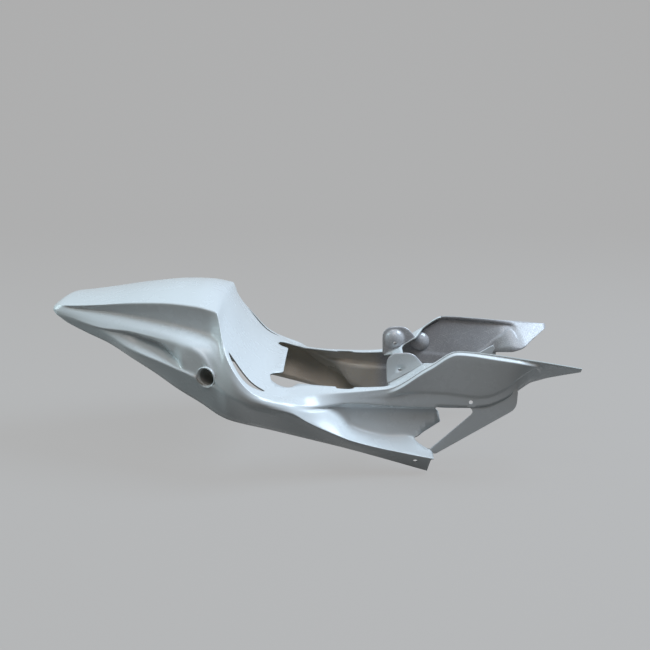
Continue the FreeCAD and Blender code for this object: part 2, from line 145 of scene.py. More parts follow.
# Lines of the grid from the edge down: how many points lie between a line and the next, and how
# far its rounded corner reaches, as one length or as x and length where it changes
COLUMNS = {
    "edge": (1, [(-620, 2.5), (-480, 4), (-330, 4), (-300, 2.2), (-200, 3), (-27, 2), (50, 1.5),
                 (84, 0), (303, 0)]),
    "panel head": (1, 1.6),
    "panel top": (6, 1.6),
    "panel low": (1, 1.6),
    "panel foot": (2, 1.6),
    "valley": (1, [(-620, 2), (-480, 5), (-340, 7), (-316, 12), (-303, 12), (-283, 7), (-150, 6),
                   (40, 2), (84, 0), (303, 0)]),
    "recess": (3, 10.0),
    "shelf": (3, [(-620, 9), (-10, 9), (30, 4), (303, 4)]),
    "crease": (2, 7.0),
    "lip": (3, 2.5),
    "pocket": (2, 6.0),
    "band": (5, 4.5),
}

# A rounded corner: its points, and the most it takes of the way to the next line
CORNER_POINTS = 5
CORNER_SHARE = 0.42

# Cells across the deck up to a share of the half-width, as many from there to the edge, and how far
# in the deck's slope at the edge is carried on straight for the rounded corner
DECK_CELLS = 12
DECK_SHARE = 0.84
DECK_TANGENT = 60.0

# Seat opening: its ends, its half-width at each, and how far its front bows forward between the
# ears, in full up to the first half-width and not at all past the second
OPENING_X = (-207.0, -21.0)
OPENING_HALF = (107.0, 99.0)
OPENING_BOW = 13.0
BOW_HALF = (66.0, 80.0)

# Round hole at the opening's rear corner as x, y, radius, and notch in its side as middle, half
# its length, inner and outer half-width
CORNER_HOLE = (-205.0, 100.0, 25.0)
NOTCH = (-97.0, 15.0, 60.0, 110.2)

# Half-width of the cut in the ramp at places along X
RAMP_CUT = [(13, 79), (41, 79), (56, 110), (303, 118)]

# Slot between seat and rim: its two ends and its middle, its width, the way it is cut, and the
# place behind which nothing is cut
SLOT = [(-296, 146, 52), (-266, 163, 9), (-228, 162, -16)]
SLOT_WIDTH = 19.0
SLOT_WAY = (0.75, 0, 0.66)
SLOT_BACK = -310.0

# End of the lower arm, as height and place along X
ARM_END = [(-190, 46), (-146, 54), (-142, 60), (-120, 26), (-77, 88), (-66, 62), (200, 62)]

# Round holes: a point on the axis, and its way out
SIDE_HOLE = ((-329, 156, 9), (-0.4147, 0.91, 0))
ARM_BOLT = ((27, 140.1, -149.8), (0, 0.8746, -0.4848))
WING_BOLT = ((123, 115.4, -49), (0, 1, 0))

# Cut in the skin for the side collar: its radius, and how far it goes either way
SIDE_CUT = 16.0
SIDE_CUT_DEPTH = 40.0

# Bolt hole: radius, circles that lead into it as radius and height, and the clear space round it
BOLT_RADIUS = 3.3
BOLT_LIP = [(4.2, 0), (3.5, -0.1), (BOLT_RADIUS, -0.5)]
BOLT_CLEAR = 6.0
BOLT_BLEND = (0.35, 0.7)

# Distance given to points that a cut doesn't concern
OUTSIDE = 50.0

# Outlines seen from the side, as x, z and corner radius, and the plates' faces as places along Y
STRUT = [(112, -57, 0), (150, -44, 0), (199, -14, 4), (204, -30, 10), (203, -61, 22), (65, -148, 3),
         (50, -144, 3), (131, -67, 7), (119, -58, 0)]
STRUT_FACES = (111.2, 114.7)
STRUT_EASE = 0.7
EAR = [(-23, -27, 0), (-24, 29, 20), (22, 31, 26), (40, 10.5, 0), (40, 8.8, 0), (0, -14.2, 0)]
EAR_FACES = (82.0, 85.2)
EAR_EASE = 0.8

# Domes on the inner faces of ear and wing: rise, radius, and middle
DOME_RISE = 11.0
DOME_RADIUS = 19.0
EAR_DOME_HEIGHT = 6.0
WING_DOME = (52.0, 113.0, -8.0)

# Section of the side collar, as radius and height along the hole's axis
COLLAR = [(14.5, -38), (14.5, 1.5), (15.1, 4.8), (16.3, 6.8), (17.6, 7.3), (18.4, 6.7), (18.8, 5.2),
          (18.8, -38)]

# Points on the arc of an outline's corner, and round each turned or outlined piece
ARC_POINTS = 9
EAR_POINTS = 72
DOME_POINTS = 40
COLLAR_POINTS = 64
STRUT_POINTS = 150

# Order of the finishes on every piece
GELCOAT, LAMINATE, TRIMMED, RESIN_RICH, PAINTED_SHADE_BORE = range(5)

# Colours: the two shades of a finish, or one
WHITE = ((0.74, 0.765, 0.77, 1), (0.80, 0.82, 0.825, 1))
DUST = (0.45, 0.44, 0.41, 1)
# Warm resin, made paler as painted light for the shaded inside of the body
WARM_RESIN_PAINTED_LIGHT = ((0.62, 0.55, 0.46, 1), (0.80, 0.75, 0.66, 1))
GREY_RESIN = ((0.38, 0.36, 0.36, 1), (0.56, 0.55, 0.57, 1))
GLASS = (0.68, 0.66, 0.65, 1)
TRIMMED_RESIN = ((0.34, 0.34, 0.32, 1), (0.52, 0.53, 0.51, 1))
# Darker resin for the collar's bore: painted shade in the deep hole
BORE_PAINTED_SHADE = ((0.32, 0.32, 0.305, 1), (0.46, 0.46, 0.44, 1))

# Places along X, in metres, between which the resin inside turns from warm to grey. The warm resin is
# paler: painted light for the shaded inside of the body
RESIN_TURN = (-0.045, -0.015)

# Ways that the glass strands lie, as turns about X, Y and Z, and a strand's thickness and length in
# metres
STRAND_TURNS = [(0, 0.3, 0), (0, 1.2, 0.1), (0, 2.1, -0.1), (0.9, 1.6, 0), (-0.7, 0.8, 0)]
STRAND = (0.0016, 0.0016, 0.03)

# Studio in metres: the gap below the cowl, the floor's half-width, its front, where it starts to
# turn up, the radius of that turn, and the height of the wall behind
FLOOR_GAP = 0.004
FLOOR_HALF = 9.0
FLOOR_FRONT = -6.0
FLOOR_BACK = 2.5
FLOOR_TURN = 1.2
FLOOR_TOP = 6.0

# Paper: its colour for light that bounces off it, the part that takes shadows where it is seen, and
# the glow that makes it pale there. Then the faint light of the air, and the pale distance
PAPER_LIT = (0.10, 0.098, 0.092, 1)
PAPER_SEEN = (0.06, 0.06, 0.06, 1)
PAPER_GLOW = (0.415, 0.415, 0.415, 1)
AIR = (1.0, 0.99, 0.96, 1)
AIR_STRENGTH = 0.02
DISTANCE = (0.43, 0.43, 0.43, 1)

# Lamps: watts, width, place and colour. All face one point of the cowl
LAMPS = {
    "key": (70, 1.3, (1.35, -0.05, 1.85), (0.68, 0.84, 1.0)),
    "rear": (23, 1.2, (-2.13, 0.0, 1.08), (0.70, 0.92, 1.0)),
    "side": (10, 1.2, (-0.1, -1.15, 1.99), (1.0, 0.9, 0.84)),
}
LAMP_AIM = (-0.1, 0, 0)

# Camera: place, tilt and pan in degrees, sensor in millimetres, and in pixels of the photograph
# its focal length and its width
CAMERA_PLACE = (-0.0999, -1.5089, 0.4879)
CAMERA_TILT = 74.046
CAMERA_PAN = 1.296
SENSOR = 36.0
FOCAL_PIXELS = 850
PHOTO_PIXELS = 650


def curve(points, x):
    """Smooth curve through the points: cubic pieces whose slope at a point is the harmonic mean
    of the slopes on its two sides, or level where these turn, so that it never overshoots."""
    p = np.array(points, float)
    u, v = p[:, 0], p[:, 1:]
    step = np.diff(v, axis=0) / np.diff(u)[:, None]
    a, b = step[:-1], step[1:]
    same = a * b > 0
    inner = np.where(same, 2 * a * b / np.where(same, a + b, 1), 0)
    m = np.vstack([step[:1], inner, step[-1:]])
    x = np.clip(np.asarray(x, float), u[0], u[-1])
    i = np.clip(np.searchsorted(u, x, "right") - 1, 0, len(u) - 2)
    h = (u[i + 1] - u[i])[:, None]
    t = (x - u[i])[:, None] / h
    value = v[i] * (1 + 2 * t) * (1 - t) ** 2 + v[i + 1] * t * t * (3 - 2 * t)
    return value + h * (m[i] * t * (1 - t) ** 2 - m[i + 1] * t * t * (1 - t))


def line(points, x):
    """Points of one line of the skin at the rows x."""
    return np.column_stack([x, curve(points, x)])


def unit(v):
    """Vectors divided by their lengths."""
    return v / np.maximum(np.linalg.norm(v, axis=-1, keepdims=True), 1e-9)


def raised_line(points, x, upper, lower):
    """Line between two others: a share of the way from upper to lower, lifted square to that way."""
    share, rise = curve(points, x).T
    down = unit(lower - upper)
    out = np.column_stack([np.zeros(len(x)), -down[:, 2], down[:, 1]])
    return upper + (lower - upper) * share[:, None] + out * (rise * PANEL_RISE)[:, None]


def corner_reach(reach, x):
    """Reach of a rounded corner at the rows x, from one length or from a list along X."""
    return curve(reach, x)[:, 0] if isinstance(reach, list) else np.full(len(x), reach)


def corner(before, at, after, reach):
    """Rounded corner of each row: the quadratic curve from a point one reach before the corner to
    a point one reach after it, with the corner as its control point."""
    back, on = before - at, after - at
    most = CORNER_SHARE * np.minimum(np.linalg.norm(back, axis=1), np.linalg.norm(on, axis=1))
    t = np.minimum(reach, most)[:, None]
    a, b = at + unit(back) * t, at + unit(on) * t
    w = np.linspace(0, 1, CORNER_POINTS)[None, :, None]
    return (1 - w) ** 2 * a[:, None] + 2 * w * (1 - w) * at[:, None] + w * w * b[:, None]


def between(a, b, count):
    """Points of each row on the straight way from a to b, without its ends."""
    w = np.linspace(0, 1, count + 2)[1:-1][None, :, None]
    return a[:, None] * (1 - w) + b[:, None] * w


def row_places():
    """Places of the rows along X: even steps in each stretch, then the front end."""
    runs = [np.arange(a, b, step) for (a, step), (b, _) in zip(ROWS, ROWS[1:])]
    return np.concatenate(runs + [[ROWS[-1][0]]])


def half_skin(x):
    """Grid of the left half, and the first column of each named line. Across the middle, height
    is a parabola in y from the centre line to the edge; below the edge the rows are straight
    between the lines, with rounded corners."""
    centre, edge, valley = line(CENTRE, x), line(EDGE, x), line(VALLEY, x)
    panel = [raised_line(p, x, edge, valley) for p in (PANEL_HEAD, PANEL_TOP, PANEL_LOW, PANEL_FOOT)]
    recess, shelf, crease = line(RECESS, x), line(SHELF, x), line(CREASE, x)
    pocket, band, bottom = line(POCKET, x), line(BAND, x), line(BOTTOM, x)
    lip = raised_line(LIP, x, crease, pocket)
    lines = [edge] + panel + [valley, recess, shelf, crease, lip, pocket, band, bottom]

    drop = edge[:, 2] - centre[:, 2]
    slope = 2 * drop / edge[:, 1]
    inward = edge - np.column_stack([np.zeros(len(x)), np.ones(len(x)), slope]) * DECK_TANGENT
    reaches = [corner_reach(reach, x) for _, reach in COLUMNS.values()]
    rounds = [corner(*way) for way in zip([inward] + lines, lines, lines[1:], reaches)]

    taken = np.minimum(reaches[0], CORNER_SHARE * np.linalg.norm(lines[1] - edge, axis=1))
    last = 1 - taken / (edge[:, 1] * np.hypot(1, slope))
    spread = np.concatenate([np.linspace(0, DECK_SHARE, DECK_CELLS, endpoint=False),
                             np.linspace(DECK_SHARE, 1, DECK_CELLS, endpoint=False)])
    s = spread[None, :] * last[:, None]
    deck = np.stack([np.repeat(x[:, None], len(spread), 1), s * edge[:, 1:2],
                     centre[:, 2:3] + drop[:, None] * s * s], axis=2)

    blocks, first = [deck], {}
    ends = [turn[:, 0] for turn in rounds[1:]] + [bottom]
    for (name, (count, _)), turn, end in zip(COLUMNS.items(), rounds, ends):
        first[name] = sum(b.shape[1] for b in blocks)
        blocks += [turn, between(turn[:, -1], end, count)]
    first["bottom"] = sum(b.shape[1] for b in blocks)
    return np.concatenate(blocks + [bottom[:, None]], axis=1), first


def opening_gap(p):
    """Distance outside the seat opening: a tapered rectangle, bowed forward between the ears, with
    a round hole at its rear corner and a notch in its side."""
    x, y = p[..., 0], p[..., 1]
    side = np.interp(x, OPENING_X, OPENING_HALF)
    front = OPENING_X[1] + OPENING_BOW * np.interp(y, BOW_HALF, (1, 0))
    plate = np.maximum(np.maximum(OPENING_X[0] - x, x - front), y - side)
    hole_x, hole_y, radius = CORNER_HOLE
    hole = np.hypot(x - hole_x, y - hole_y) - radius
    middle, half, inner, outer = NOTCH
    notch = np.maximum(np.abs(x - middle) - half, np.maximum(y - outer, inner - y))
    return np.minimum(np.minimum(plate, hole), notch)


def ramp_gap(p):
    """Distance outside the cut in the ramp, whose half-width grows towards the front."""
    x, y = p[..., 0], p[..., 1]
    xs, ys = zip(*RAMP_CUT)
    return np.maximum(xs[0] - x, y - np.interp(x, xs, ys))


def slot_gap(p):
    """Distance outside the lens between seat and rim: a parabola across its chord, whose width is
    a parabola too. All is measured flat, as seen along the way of the cut."""
    way = unit(np.array(SLOT_WAY, float))
    a, m, b = [np.array(q, float) for q in SLOT]
    flat = np.eye(3) - np.outer(way, way)
    chord = (b - a) @ flat
    length = np.linalg.norm(chord)
    side = np.cross(way, chord / length)
    q = (p - a) @ flat
    s = q @ chord / length ** 2
    hump = 4 * s * (1 - s)
    gap = np.abs(q @ side - hump * ((m - a) @ flat @ side)) - hump * SLOT_WIDTH / 2
    return np.where((s > 0) & (s < 1) & (p[..., 0] > SLOT_BACK), gap, OUTSIDE)


def arm_gap(p):
    """Distance behind the cut that ends the lower arm."""
    zs, xs = zip(*ARM_END)
    return np.interp(p[..., 2], zs, xs) - p[..., 0]


def from_axis(p, hole):
    """Distance of points along a hole's axis, and away from it."""
    centre, axis = [np.array(v, float) for v in hole]
    along = (p - centre) @ axis
    return along, np.linalg.norm(p - centre - along[..., None] * axis, axis=-1)


def side_hole_gap(p):
    """Distance outside the round hole that the collar sits in."""
    along, away = from_axis(p, SIDE_HOLE)
    return np.where(np.abs(along) < SIDE_CUT_DEPTH, away - SIDE_CUT, OUTSIDE)


def shifted(a, axis, step):
    """The grid moved by one cell, with its border repeated."""
    pad = [(0, 0)] * a.ndim
    pad[axis] = (1, 1)
    wide = np.pad(a, pad, mode="edge")
    start = 1 + step
    return np.take(wide, np.arange(start, start + a.shape[axis]), axis=axis)


def snap(grid, gap):
    """Moves grid points that are within half a cell of a cut's edge onto it, along the grid. The
    edge lies where the distance, taken as straight between neighbours, is nought."""
    best = np.full(gap.shape, np.inf)
    move = np.zeros(grid.shape)
    for axis, step in ((0, 1), (0, -1), (1, 1), (1, -1)):
        other = shifted(gap, axis, step)
        crossing = gap * other < 0
        t = np.where(crossing, gap / np.where(crossing, gap - other, 1), np.inf)
        better = (t <= 0.5) & (t < best)
        best = np.where(better, t, best)
        part = np.where(better, t, 0)[..., None]
        move = np.where(better[..., None], part * (shifted(grid, axis, step) - grid), move)
    return grid + move, np.isfinite(best)


def cut(grid, first):
    """Grid with its points drawn to the edges of all cuts, and the distance outside them."""
    column = np.arange(grid.shape[1])[None, :]
    top = column < first["panel head"]
    side = (column > first["valley"]) & (column <= first["bottom"])
    total = np.full(grid.shape[:2], OUTSIDE)
    for zone, gap_of in ((top, opening_gap), (top, ramp_gap), (top, slot_gap), (side, arm_gap),
                         (side, side_hole_gap)):
        gap = np.where(zone, gap_of(grid), OUTSIDE)
        for _ in range(2):
            on_edge = gap == 0
            grid, moved = snap(grid, gap)
            gap = np.where(moved | on_edge, 0, np.where(zone, gap_of(grid), OUTSIDE))
        total = np.minimum(total, gap)
    return grid, total


def kept_faces(grid, gap, first, skip):
    """Quads whose corners all lie outside the cuts, and the triangle left where one corner is cut.
    Ahead of the body only the wing is kept, and ahead of the arm's end nothing joins the two."""
    rows, columns = gap.shape
    index = np.arange(rows * columns).reshape(rows, columns)
    here, on = slice(None, -1), slice(1, None)
    ring = [(here, here), (on, here), (on, on), (here, on)]
    corners = np.stack([index[r] for r in ring], axis=-1)
    out = np.stack([gap[r] < 0 for r in ring], axis=-1)
    column = np.arange(columns - 1)[None, :]
    place = grid[:-1, first["edge"], 0][:, None]
    wing = (column >= first["edge"] + CORNER_POINTS - 1) & (column < first["valley"])
    joint = (column >= first["valley"]) & (column < first["recess"]) & (place >= ARM_END[-1][1])
    allowed = (wing | (place < BODY_FRONT)) & ~joint & ~skip
    count = out.sum(axis=-1)
    one = (count == 1) & allowed
    # A cut corner is given the number 4, so that it comes last
    order = np.where(out[one], 4, np.arange(4)[None, :])
    kept = np.sort(order, axis=1)[:, :3]
    return corners[(count == 0) & allowed], np.take_along_axis(corners[one], kept, axis=1)


def bolt_patch(grid, hole):
    """Ring of the skin round a bolt hole: from the border of the smallest block of the grid that
    keeps clear of the hole's axis to circles about that axis. A border point's spoke lies midway
    between its own angle and an even spacing. Returns the block, the numbers of its border points,
    and the new points by circle."""
    centre, axis = [np.array(v, float) for v in hole]
    along, reach = from_axis(grid, hole)
    # The block starts at the nearest grid point and grows by a row or a column until it is clear
    i, j = np.unravel_index(np.argmin(reach + 0.3 * np.abs(along)), reach.shape)
    r0, r1, c0, c1 = i - 1, i + 1, j - 1, j + 1
    for _ in range(40):
        r0 -= reach[r0, c0:c1 + 1].min() < BOLT_CLEAR
        r1 += reach[r1, c0:c1 + 1].min() < BOLT_CLEAR
        c0 -= reach[r0:r1 + 1, c0].min() < BOLT_CLEAR
        c1 += reach[r0:r1 + 1, c1].min() < BOLT_CLEAR
    high, wide = np.ones(r1 - r0, int), np.ones(c1 - c0, int)
    row = np.concatenate([np.arange(r0, r1), r1 * wide, np.arange(r1, r0, -1), r0 * wide])
    column = np.concatenate([c0 * high, np.arange(c0, c1), c1 * high, np.arange(c1, c0, -1)])
    rim = grid[row, column]
    up = unit(np.array([0, 0, 1.0]) - axis * axis[2])
    on = np.cross(axis, up)
    turn = np.unwrap(np.arctan2((rim - centre) @ on, (rim - centre) @ up))
    even = np.arange(len(rim)) * math.copysign(2 * math.pi / len(rim), turn[-1] - turn[0])
    turn = (turn + even + np.mean(turn - even)) / 2
    spoke = np.cos(turn)[:, None] * up + np.sin(turn)[:, None] * on
    circles = [centre + axis * h + spoke * r for r, h in BOLT_LIP]
    blend = [rim * (1 - w) + circles[0] * w for w in BOLT_BLEND]
    return (r0, r1, c0, c1), row * grid.shape[1] + column, np.array(blend + circles)


def ring_faces(loops):
    """Quads between neighbouring closed loops of point numbers."""
    pairs = zip(loops, loops[1:])
    return np.concatenate([np.stack([a, np.roll(a, -1), np.roll(b, -1), b], axis=1) for a, b in pairs])


def tail_cap(row):
    """Rows that close the tail: its first row drawn in towards the middle of the bottom edge."""
    share, place = np.array(TAIL_CAP).T
    foot = np.array([0.0, 0.0, row[-1, 2]])
    cap = foot + (row - foot) * share[:, None, None]
    cap[:, :, 0] = place[:, None]
    return cap


def half_mesh():
    """Points of the left half of the skin, and its faces: quads, triangles, and the quads round
    each bolt hole."""
    grid, first = half_skin(row_places())
    grid = np.concatenate([tail_cap(grid[0]), grid])
    grid, gap = cut(grid, first)
    skip = np.zeros((grid.shape[0] - 1, grid.shape[1] - 1), bool)
    points, rings = [grid.reshape(-1, 3)], []
    start = len(points[0])
    for hole in (ARM_BOLT, WING_BOLT):
        (r0, r1, c0, c1), border, circles = bolt_patch(grid, hole)
        skip[r0:r1, c0:c1] = True
        numbers = start + np.arange(circles[..., 0].size).reshape(circles.shape[:2])
        rings.append(ring_faces([border] + list(numbers)))
        points.append(circles.reshape(-1, 3))
        start += numbers.size
    quads, triangles = kept_faces(grid, gap, first, skip)
    return np.concatenate(points), [quads, triangles] + rings


def mesh_object(name, points, groups, smooth=True):
    """Object from points in millimetres and groups of faces with equal numbers of corners, without
    the points that no face uses."""
    used = np.unique(np.concatenate([g.ravel() for g in groups]))
    number = np.full(len(points), -1)
    number[used] = np.arange(len(used))
    mesh = bpy.data.meshes.new(name)
    faces = [face for g in groups for face in number[g].tolist()]
    mesh.from_pydata((points[used] * MM).tolist(), [], faces)
    mesh.validate()
    mesh.polygons.foreach_set("use_smooth", np.full(len(mesh.polygons), smooth))
    obj = bpy.data.objects.new(name, mesh)
    bpy.context.scene.collection.objects.link(obj)
    return obj


def outline(points, count):
    """Closed outline through corners given as two coordinates and a radius, each corner a
    circular arc, sampled evenly by length."""
    p = np.array(points, float)
    q, r = p[:, :2], p[:, 2]
    back, on = unit(np.roll(q, 1, 0) - q), unit(np.roll(q, -1, 0) - q)
    half = np.arccos(np.clip((back * on).sum(1), -1, 1)) / 2
    bisector = unit(back + on)
    centre = q + bisector * (r / np.sin(half))[:, None]
    side = -np.sign(back[:, 0] * on[:, 1] - back[:, 1] * on[:, 0])
    turn = np.linspace(-1, 1, ARC_POINTS)[None, :] * (side * (math.pi / 2 - half))[:, None]
    angle = np.arctan2(-bisector[:, 1], -bisector[:, 0])[:, None] + turn
    arc = centre[:, None] + r[:, None, None] * np.stack([np.cos(angle), np.sin(angle)], axis=2)
    path = arc.reshape(-1, 2)
    path = path[np.linalg.norm(path - np.roll(path, 1, 0), axis=1) > 1e-6]
    loop = np.vstack([path, path[:1]])
    length = np.concatenate([[0], np.cumsum(np.linalg.norm(np.diff(loop, axis=0), axis=1))])
    at = np.linspace(0, length[-1], count, endpoint=False)
    return np.column_stack([np.interp(at, length, loop[:, 0]), np.interp(at, length, loop[:, 1])])


def dome(distance):
    """Height of a spherical cap at a distance from its axis: the height of the ball that has the
    cap's rise and radius, less what lies below the cap, and nought beyond it."""
    ball = (DOME_RADIUS ** 2 + DOME_RISE ** 2) / (2 * DOME_RISE)
    return np.maximum(np.sqrt(np.maximum(ball ** 2 - distance ** 2, 0)) - (ball - DOME_RISE), 0)


def mirrored(obj, merge):
    """The same piece with its mirror image on the right, merged in the middle where they meet."""
    m = obj.modifiers.new("other side", "MIRROR")
    m.use_axis = (False, True, False)
    m.use_mirror_merge = merge
    m.merge_threshold = 0.05 * MM
    return obj


def finished(obj, numbers):
    """The same piece with the number of a finish on each face."""
    obj.data.polygons.foreach_set("material_index", np.asarray(numbers, np.int32))
    return obj


def skin():
    """The moulded skin: both halves, given a wall inwards with laminate inside and trimmed edges."""
    points, groups = half_mesh()
    obj = mirrored(mesh_object("cowl_skin", points, groups), True)
    wall = obj.modifiers.new("wall", "SOLIDIFY")
    wall.thickness = WALL * MM
    wall.offset = -1
    wall.use_quality_normals = True
    wall.use_rim = True
    wall.material_offset = LAMINATE
    wall.material_offset_rim = TRIMMED
    return obj


def ear():
    """Upright ear with its bolt hole. A ring between the hole's circle and the plate's outline is
    carried round the section of the plate, and its inner face bulges by a dome."""
    inner, outer = EAR_FACES
    inside, outside = np.linspace(0, 0.96, 14), np.linspace(0.9, 0, 4)
    share = np.concatenate([inside, [1.0, 1.0, 0.96], outside])[:, None, None]
    depth = np.concatenate([np.full(len(inside), inner), [inner + EAR_EASE, outer - EAR_EASE],
                            np.full(1 + len(outside), outer)])
    rim = outline(EAR, EAR_POINTS)
    angle = np.arctan2(rim[:, 1], rim[:, 0])
    circle = BOLT_RADIUS * np.column_stack([np.cos(angle), np.sin(angle)])
    flat = circle[None] * (1 - share) + rim[None] * share
    y = np.repeat(depth[:, None], EAR_POINTS, 1)
    bulged = flat[:len(inside)]
    y[:len(inside)] -= dome(np.hypot(bulged[..., 0], bulged[..., 1] - EAR_DOME_HEIGHT))
    points = np.stack([flat[..., 0], y, flat[..., 1]], axis=2).reshape(-1, 3)
    numbers = np.arange(len(points)).reshape(-1, EAR_POINTS)
    faces = ring_faces(list(numbers) + [numbers[0]])[:, ::-1]
    raw = np.arange(len(depth)) < len(inside) + 2
    obj = mirrored(mesh_object("ear", points, [faces]), False)
    return finished(obj, np.repeat(np.where(raw, RESIN_RICH, GELCOAT), EAR_POINTS))


def wing_boss():
    """Boss on the inside of the wing: a dome turned about its own axis."""
    x, y, z = WING_DOME
    r = np.linspace(0.02, 1, 10)[:, None] * DOME_RADIUS
    a = np.linspace(0, 2 * math.pi, DOME_POINTS, endpoint=False)[None, :]
    height = np.repeat(dome(r), DOME_POINTS, 1)
    points = np.stack([x + r * np.cos(a), y - height, z + r * np.sin(a)], axis=2).reshape(-1, 3)
    numbers = np.arange(len(points)).reshape(-1, DOME_POINTS)
    groups = [ring_faces(list(numbers)), numbers[:1, ::-1]]
    obj = mirrored(mesh_object("wing_boss", points, groups), False)
    return finished(obj, np.full(len(obj.data.polygons), RESIN_RICH))


def collar():
    """Round collar of the side hole: its section turned about the hole's axis. The first band of faces
    is the bore, whose darker finish is painted shade in the deep hole."""
    radius, height = np.array(COLLAR, float).T[:, :, None, None]
    centre, axis = [np.array(v, float) for v in SIDE_HOLE]
    up = np.array([0, 0, 1.0])
    on = np.cross(axis, up)
    turn = np.linspace(0, 2 * math.pi, COLLAR_POINTS, endpoint=False)[:, None]
    spoke = np.cos(turn) * up + np.sin(turn) * on
    points = (centre + height * axis + radius * spoke).reshape(-1, 3)
    numbers = np.arange(len(points)).reshape(-1, COLLAR_POINTS)
    faces = ring_faces(list(numbers) + [numbers[0]])[:, ::-1]
    obj = mirrored(mesh_object("side_collar", points, [faces]), False)
    return finished(obj, np.where(np.arange(len(faces)) < COLLAR_POINTS, PAINTED_SHADE_BORE, GELCOAT))


def strut():
    """Flat plate below the wing that reaches down to the lower arm, with eased edges."""
    rim = outline(STRUT, STRUT_POINTS)
    sides = [np.column_stack([rim[:, 0], np.full(STRUT_POINTS, y), rim[:, 1]]) for y in STRUT_FACES]
    inner, outer = np.arange(2 * STRUT_POINTS).reshape(2, -1)
    groups = [ring_faces([inner, outer]), inner[None, ::-1], outer[None]]
    obj = mirrored(mesh_object("strut", np.concatenate(sides), groups, smooth=False), False)
    soft = obj.modifiers.new("eased", "BEVEL")
    soft.width = STRUT_EASE * MM
    soft.segments = 2
    soft.limit_method = "ANGLE"
    return obj


class Value:
    """A socket that carries a number. Arithmetic on it adds Math nodes."""

    def __init__(self, nodes, socket):
        self.nodes, self.socket = nodes, socket

    def maths(self, operation, a, b):
        node = self.nodes.add("ShaderNodeMath", {"operation": operation}, {0: a, 1: b})
        return Value(self.nodes, node.outputs[0])

    def __add__(self, other):
        return self.maths("ADD", self, other)

    def __sub__(self, other):
        return self.maths("SUBTRACT", self, other)

    def __rsub__(self, other):
        return self.maths("SUBTRACT", other, self)

    def __mul__(self, other):
        return self.maths("MULTIPLY", self, other)

    __radd__ = __add__
    __rmul__ = __mul__


class Nodes:
    """The nodes of a material or of the world, with one method that adds any of them."""

    def __init__(self, owner):
        owner.use_nodes = True
        self.tree = owner.node_tree

    def add(self, kind, settings=None, sockets=None):
        node = self.tree.nodes.new(kind)
        for key, value in (settings or {}).items():
            setattr(node, key, value)
        self.feed(node, sockets or {})
        return node

    def feed(self, node, sockets):
        """Sets each socket to a value, or links it to another socket."""
        for key, value in sockets.items():
            value = value.socket if isinstance(value, Value) else value
            if isinstance(value, bpy.types.NodeSocket):
                self.tree.links.new(value, node.inputs[key])
            else:
                node.inputs[key].default_value = value

    def seen(self):
        """1 for rays that show the background: to the camera, off a gloss or through glass."""
        rays = self.add("ShaderNodeLightPath").outputs
        camera, glossy, through = [Value(self, rays[name]) for name in
                                   ("Is Camera Ray", "Is Glossy Ray", "Is Transmission Ray")]
        return camera + glossy + through

    def either(self, factor, a, b):
        """Shader between those of two nodes."""
        sockets = {0: factor, 1: a.outputs[0], 2: b.outputs[0]}
        return self.add("ShaderNodeMixShader", None, sockets).outputs[0]


class Finish(Nodes):
    """A material laid out by the place on the piece."""

    def __init__(self, name):
        self.material = bpy.data.materials.new(name)
        super().__init__(self.material)
        self.shader = self.tree.nodes["Principled BSDF"]
        self.place = self.add("ShaderNodeTexCoord").outputs["Object"]

    def noise(self, scale, detail, rough=0.55, place=None):
        """Noise from 0 to 1 at the places on the piece, or at others."""
        place = self.place if place is None else place
        sockets = {"Vector": place, "Scale": scale, "Detail": detail, "Roughness": rough}
        return Value(self, self.add("ShaderNodeTexNoise", None, sockets).outputs["Fac"])

    def stretched(self, size, turn):
        """Places measured in lengths of size along axes turned by turn."""
        sockets = {"Vector": self.place, "Rotation": turn, "Scale": size}
        return self.add("ShaderNodeMapping", {"vector_type": "TEXTURE"}, sockets).outputs[0]

    def ramp(self, value, low, high):
        """0 below low, 1 above high, smooth between."""
        sockets = {"Value": value, "From Min": low, "From Max": high}
        node = self.add("ShaderNodeMapRange", {"interpolation_type": "SMOOTHSTEP"}, sockets)
        return Value(self, node.outputs[0])

    def mix(self, factor, a, b):
        """Colour between a and b."""
        node = self.add("ShaderNodeMix", {"data_type": "RGBA"}, {"Factor": factor, 6: a, 7: b})
        return node.outputs[2]

    def bump(self, height, strength, distance):
        """Normal of a surface raised by the height."""
        sockets = {"Height": height, "Strength": strength, "Distance": distance}
        return self.add("ShaderNodeBump", None, sockets).outputs[0]


def gelcoat():
    """White gelcoat: slow cloudy tint, faint dust and rubbed patches, orange peel in the bump."""
    f = Finish("gelcoat")
    cloud = f.noise(7.0, 4.0)
    dust = f.ramp(f.noise(160.0, 5.0, 0.7), 0.62, 0.8)
    rub = f.ramp(f.noise(22.0, 6.0, 0.65), 0.5, 0.75)
    peel = f.noise(420.0, 2.0) * 0.35 + f.noise(60.0, 2.0)
    f.feed(f.shader, {"Base Color": f.mix(dust * 0.10, f.mix(cloud, *WHITE), DUST),
                      "Roughness": 0.26 + rub * 0.14, "Coat Weight": 0.3, "Coat Roughness": 0.18,
                      "Normal": f.bump(peel, 0.012, 0.002)})
    return f.material


